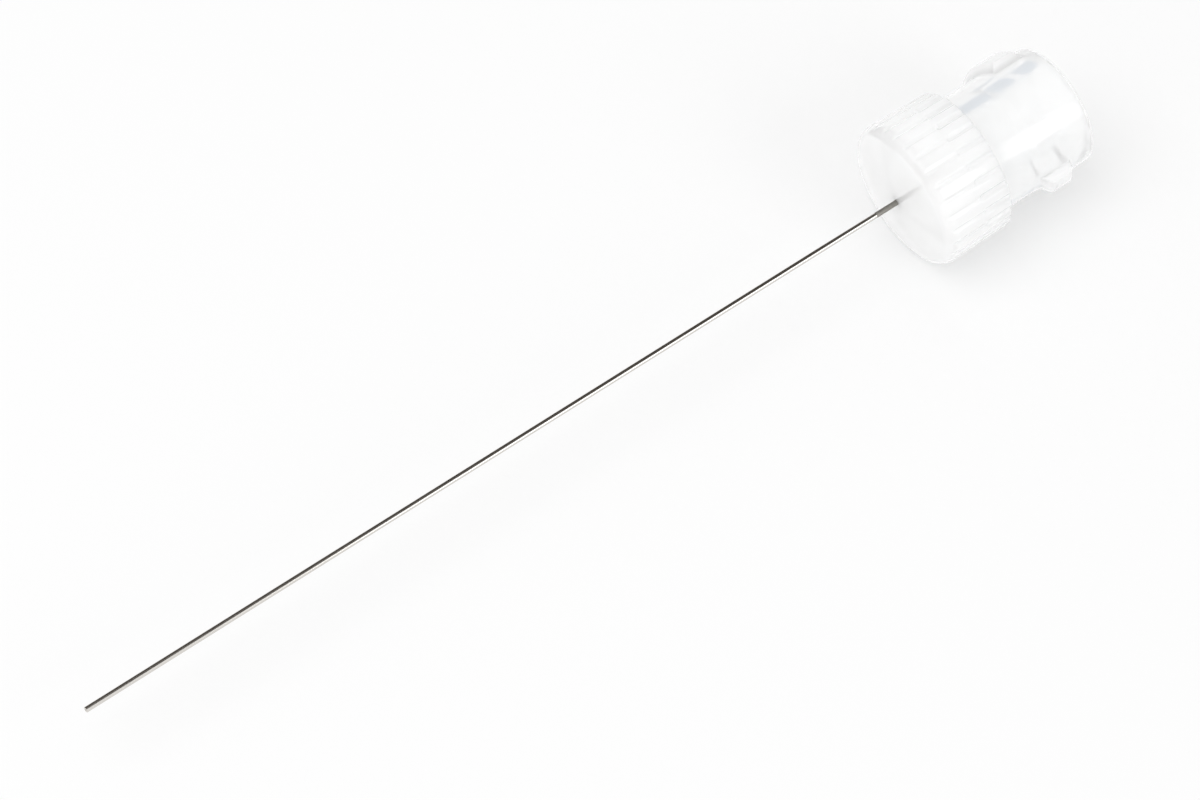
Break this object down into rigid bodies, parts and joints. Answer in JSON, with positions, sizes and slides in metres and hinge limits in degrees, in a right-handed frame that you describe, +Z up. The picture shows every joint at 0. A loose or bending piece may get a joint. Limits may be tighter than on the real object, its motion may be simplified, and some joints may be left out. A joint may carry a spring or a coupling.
{
  "type": "dispensing needle tip",
  "caption": "Blunt straight metal dispensing tube in a translucent plastic hub with a domed ribbed grip, two lock ears and a tapered socket for a syringe.",
  "frame": {"origin": "centre of the hub's rear rim, at the mouth of the luer socket, on the axis of hub and tube", "axes": "+X along the axis, out of the socket's mouth; the tube points along -X; +Z up, with the part lying on the ribs of its grip"},
  "size_m": [0.0614, 0.0082, 0.0082],
  "materials": {
    "hub": "translucent natural polypropylene, as moulded",
    "tube": "bright drawn stainless steel",
    "adhesive": "cured clear epoxy"
  },
  "bodies": {
    "root": {"hub": "hub", "needle_tube": "tube", "adhesive_bead": "adhesive"}
  },
  "joints": []
}
